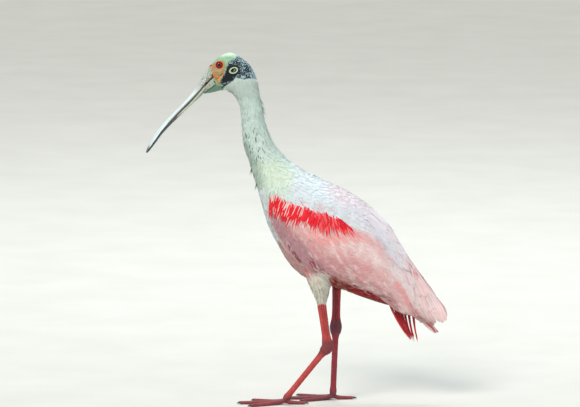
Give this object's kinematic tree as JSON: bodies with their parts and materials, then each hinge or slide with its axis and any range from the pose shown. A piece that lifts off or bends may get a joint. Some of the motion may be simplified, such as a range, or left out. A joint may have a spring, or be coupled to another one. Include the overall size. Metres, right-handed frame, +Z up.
{
  "type": "roseate spoonbill",
  "caption": "Still, life-size wading bird with a long spoon-tipped bill, folded pink wings and long bare legs, standing with one foot ahead.",
  "frame": {"origin": "on the floor, under the middle of the bird's box from bill tip to wing tip and from side to side", "axes": "-X the way the bird faces, -Y its left side, +Z up"},
  "size_m": [0.494, 0.1352, 0.5746],
  "materials": {
    "bare_skin": "matte",
    "eye": "gloss",
    "bill_horn": "satin",
    "body_plumage": "matte",
    "wing_feathers": "matte",
    "leg_skin": "satin",
    "claw_horn": "satin"
  },
  "bodies": {
    "root": {"head": "bare_skin", "ear_left": "bare_skin", "ear_right": "bare_skin", "eye_left": "eye", "eye_right": "eye", "bill_upper": "bill_horn", "bill_lower": "bill_horn", "neck_upper": "body_plumage", "neck_lower": "body_plumage", "trunk": "body_plumage", "wing_left": "wing_feathers", "wing_right": "wing_feathers", "tail": "wing_feathers", "undertail_coverts": "wing_feathers", "thigh_left": "body_plumage", "thigh_right": "body_plumage", "shin_left": "leg_skin", "shin_right": "leg_skin", "ankle_left": "leg_skin", "ankle_right": "leg_skin", "tarsus_left": "leg_skin", "tarsus_right": "leg_skin", "foot_left": "leg_skin", "foot_right": "leg_skin", "claw_middle_left": "claw_horn", "claw_outer_left": "claw_horn", "claw_inner_left": "claw_horn", "claw_hind_left": "claw_horn", "claw_middle_right": "claw_horn", "claw_outer_right": "claw_horn", "claw_inner_right": "claw_horn", "claw_hind_right": "claw_horn"}
  },
  "joints": []
}
